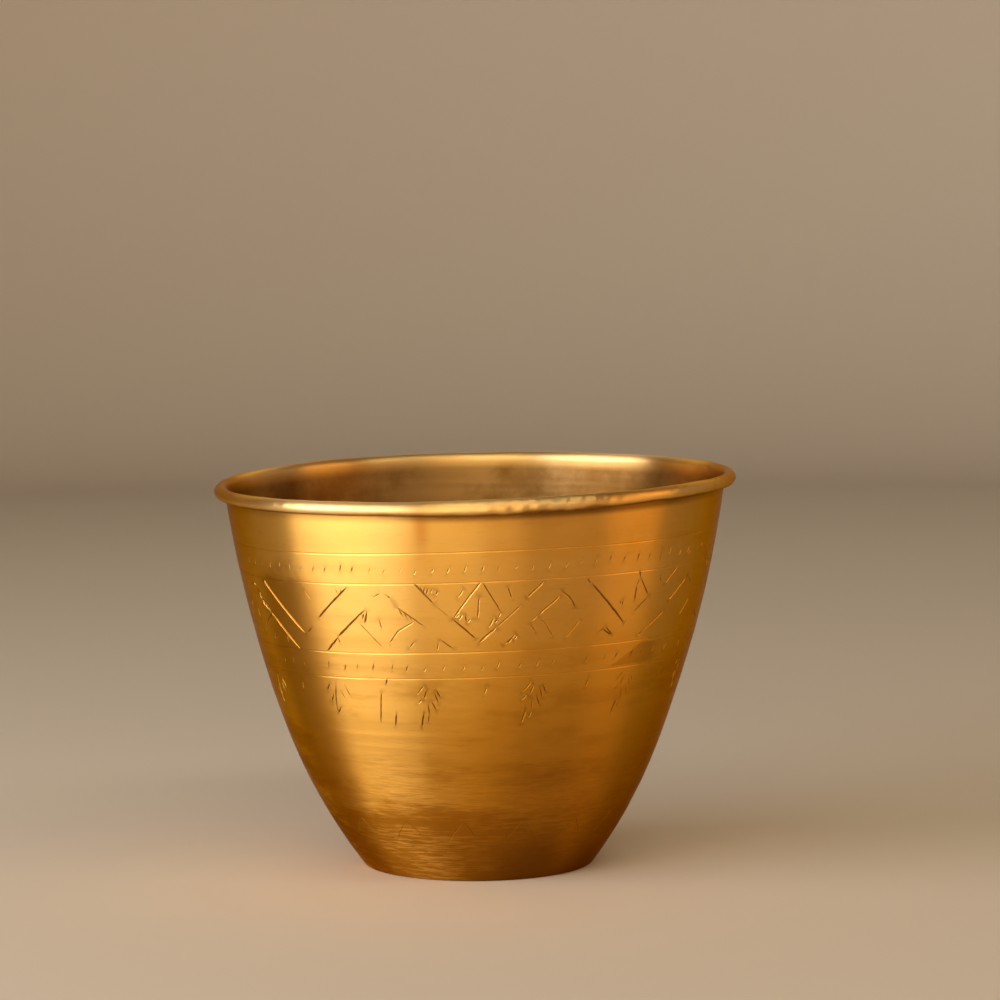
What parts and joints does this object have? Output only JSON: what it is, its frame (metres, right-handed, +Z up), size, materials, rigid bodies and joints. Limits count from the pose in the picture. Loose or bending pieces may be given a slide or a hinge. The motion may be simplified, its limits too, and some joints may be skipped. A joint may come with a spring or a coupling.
{
  "type": "brass planter pot",
  "caption": "Open tapering planter pot of spun sheet brass with a rolled wired rim, scribed rings and a chased zigzag band, and a soldered base disc.",
  "frame": {"origin": "centre of the foot's resting face, on the pot's axis", "axes": "+Z up along the pot's axis; -Y is the side that faces the viewer, +X to that viewer's right"},
  "size_m": [0.25, 0.25, 0.186],
  "materials": {
    "brass_wall": "satin, brushed round the pot, lightly tarnished",
    "brass_base": "dull, tarnished sheet",
    "steel_wire": "drawn wire",
    "solder": "dull soft solder"
  },
  "bodies": {
    "root": {"wall_shell": "brass_wall", "rim_wire": "steel_wire", "base_plate": "brass_base", "solder_fillet": "solder"}
  },
  "joints": []
}
